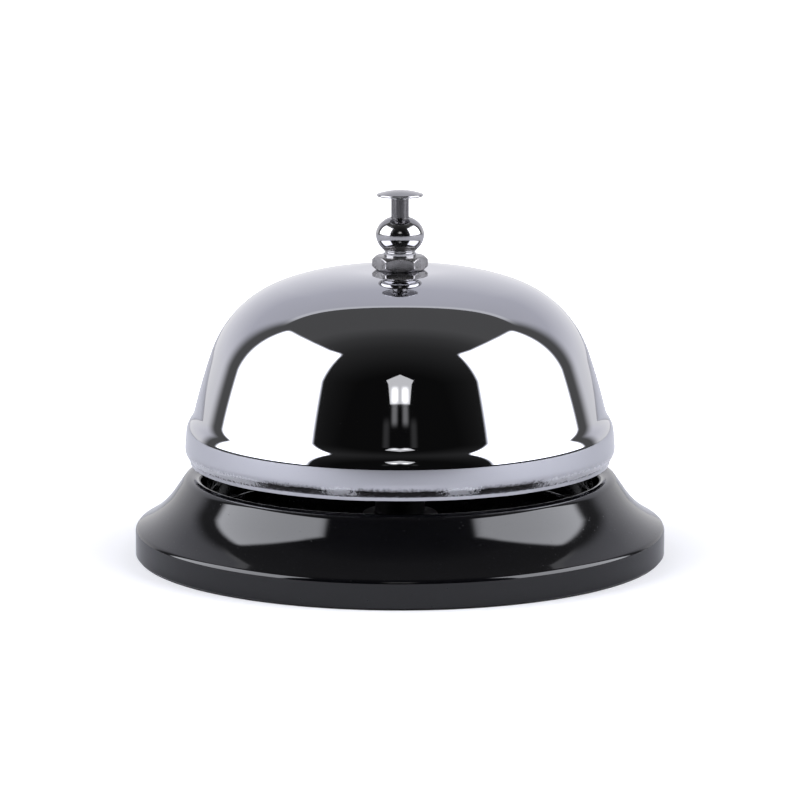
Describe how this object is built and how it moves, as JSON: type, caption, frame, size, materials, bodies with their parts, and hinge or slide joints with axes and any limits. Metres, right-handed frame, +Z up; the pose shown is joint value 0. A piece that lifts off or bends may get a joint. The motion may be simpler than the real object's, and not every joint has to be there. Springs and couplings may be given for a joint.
{
  "type": "service bell",
  "caption": "Counter call bell: chromed dome on a black ogee base, rung by a push button through a centre post, lever and sprung hammer.",
  "frame": {"origin": "centre of the underside, on the surface that the bell stands on", "axes": "+Z up along the post and button, -Y towards the front, +X towards the side that the hammer is on"},
  "size_m": [0.0848, 0.0848, 0.0585],
  "materials": {
    "chromed_dome": "bright chrome plate on spun steel",
    "gloss_black_paint": "gloss black enamel on stamped steel",
    "polished_nickel": "polished nickel plate on turned steel",
    "satin_steel": "drawn satin steel",
    "dull_nut_plate": "nickel plate over a sawn and tumbled nut",
    "zinc_plate": "clear zinc plate",
    "black_oxide": "black-oxide steel, lightly oiled",
    "spring_steel": "oiled spring steel",
    "black_rubber": "matt moulded rubber",
    "red_fibre": "vulcanised fibre washer"
  },
  "bodies": {
    "base": {"rubber_foot": "black_rubber", "base_shell": "gloss_black_paint", "stud_lock_washer": "zinc_plate", "stud_nut": "zinc_plate", "centre_post": "black_oxide", "return_spring": "spring_steel", "striker_bracket": "zinc_plate", "dome_washer": "red_fibre", "dome": "chromed_dome", "jam_nut": "dull_nut_plate", "finial": "polished_nickel", "hinge_pin": "zinc_plate", "hinge_pin_clip": "spring_steel"},
    "plunger": {"button_cap": "polished_nickel", "plunger_rod": "satin_steel", "plunger_collar": "zinc_plate"},
    "hammer": {"striker_lever": "zinc_plate", "hammer_leaf": "spring_steel", "arm_rivet_inner": "zinc_plate", "arm_rivet_outer": "zinc_plate", "striker_head": "polished_nickel"}
  },
  "joints": [
    {"name": "button_press", "type": "slide", "parent": "base", "child": "plunger", "axis": [0, 0, -1], "range_m": [0, 0.0028], "stiffness_N_per_m": 300, "springref_m": -0.003, "deforming": ["return_spring"]},
    {"name": "hammer_swing", "type": "hinge", "parent": "base", "child": "hammer", "pos_m": [0.007, 0, 0.036], "axis": [0, -1, 0], "range_deg": [0, 22.62]}
  ],
  "couplings": [
    {"joint": "hammer_swing", "follows": "button_press", "rad_per_m": 141}
  ]
}
